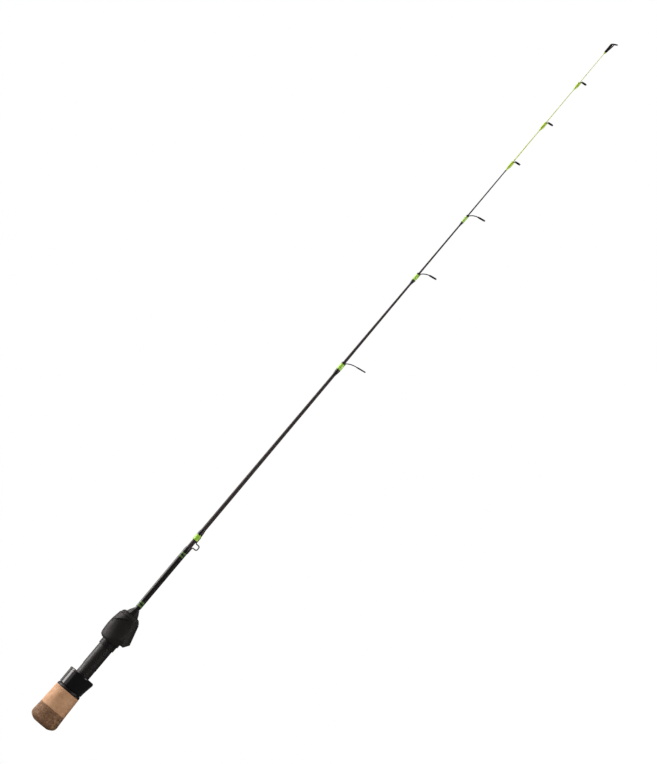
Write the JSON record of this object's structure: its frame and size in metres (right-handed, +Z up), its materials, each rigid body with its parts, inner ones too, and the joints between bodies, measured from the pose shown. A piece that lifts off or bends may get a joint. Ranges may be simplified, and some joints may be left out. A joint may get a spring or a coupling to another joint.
{
  "type": "ice fishing rod",
  "caption": "Short ice fishing rod with a tapered blank, spring tip, single-foot line guides, hook keeper and a reel seat clamped by a screw-on cork knob.",
  "frame": {"origin": "middle of the flat butt face, on the rod's axis", "axes": "+X along the rod towards the tip, guides and reel towards -Z, +Z up"},
  "size_m": [0.7112, 0.0248, 0.0306],
  "materials": {
    "blank_carbon": "dark carbon-fibre blank, satin",
    "tip_lime": "lime painted solid spring tip",
    "seat_matte": "matte black moulded nylon",
    "arbor_foam": "rigid grey foam",
    "grip_soft": "charcoal soft-touch coating",
    "wrap_black": "black thread under clear varnish",
    "wrap_lime": "lime thread under clear varnish",
    "trim_green": "green thread trim under clear varnish",
    "band_lime": "lime thread band under clear varnish",
    "keeper_steel": "smoked steel wire",
    "burl_cork": "burl cork, dark speckles, sanded",
    "cork": "fine light cork, sanded",
    "knob_black": "black moulded nylon, satin",
    "hood_gloss": "polished black moulding",
    "spring_steel": "spring steel",
    "frame_dark": "black plated steel",
    "ring_ceramic": "dark polished ceramic"
  },
  "bodies": {
    "rod": {"blank": "blank_carbon", "tip_section": "tip_lime", "seat_barrel": "seat_matte", "rear_arbor": "arbor_foam", "front_arbor": "arbor_foam", "seat_collar": "seat_matte", "front_grip": "grip_soft", "grip_ring": "grip_soft", "nose_cone": "seat_matte", "fore_wrap": "wrap_black", "trim_bands_rear": "trim_green", "trim_bands_front": "trim_green", "hook_keeper": "keeper_steel", "keeper_wrap": "wrap_black", "keeper_band": "band_lime", "tip_top_frame": "frame_dark", "tip_top_ring": "ring_ceramic", "tip_collar": "wrap_lime", "guide_1_frame": "frame_dark", "guide_1_ring": "ring_ceramic", "guide_1_wrap": "wrap_black", "guide_1_band": "band_lime", "guide_2_frame": "frame_dark", "guide_2_ring": "ring_ceramic", "guide_2_wrap": "wrap_black", "guide_2_band": "band_lime", "guide_3_frame": "frame_dark", "guide_3_ring": "ring_ceramic", "guide_3_wrap": "wrap_black", "guide_3_band": "band_lime", "guide_4_frame": "frame_dark", "guide_4_ring": "ring_ceramic", "guide_4_wrap": "wrap_lime", "guide_5_frame": "frame_dark", "guide_5_ring": "ring_ceramic", "guide_5_wrap": "wrap_lime", "guide_6_frame": "frame_dark", "guide_6_ring": "ring_ceramic", "guide_6_wrap": "wrap_lime"},
    "hood": {"rear_hood": "hood_gloss", "snap_ring": "spring_steel"},
    "knob": {"butt_cap": "burl_cork", "cork_grip": "cork", "knob_nut": "knob_black"}
  },
  "joints": [
    {"name": "hood_slide", "type": "slide", "parent": "rod", "child": "hood", "axis": [1, 0, 0], "range_m": [0, 0.008]},
    {"name": "knob_turn", "type": "hinge", "parent": "hood", "child": "knob", "pos_m": [0.02, 0, 0], "axis": [1, 0, 0], "range_deg": [0, 1440]}
  ],
  "couplings": [
    {"joint": "knob_turn", "follows": "hood_slide", "rad_per_m": 3141.6}
  ]
}
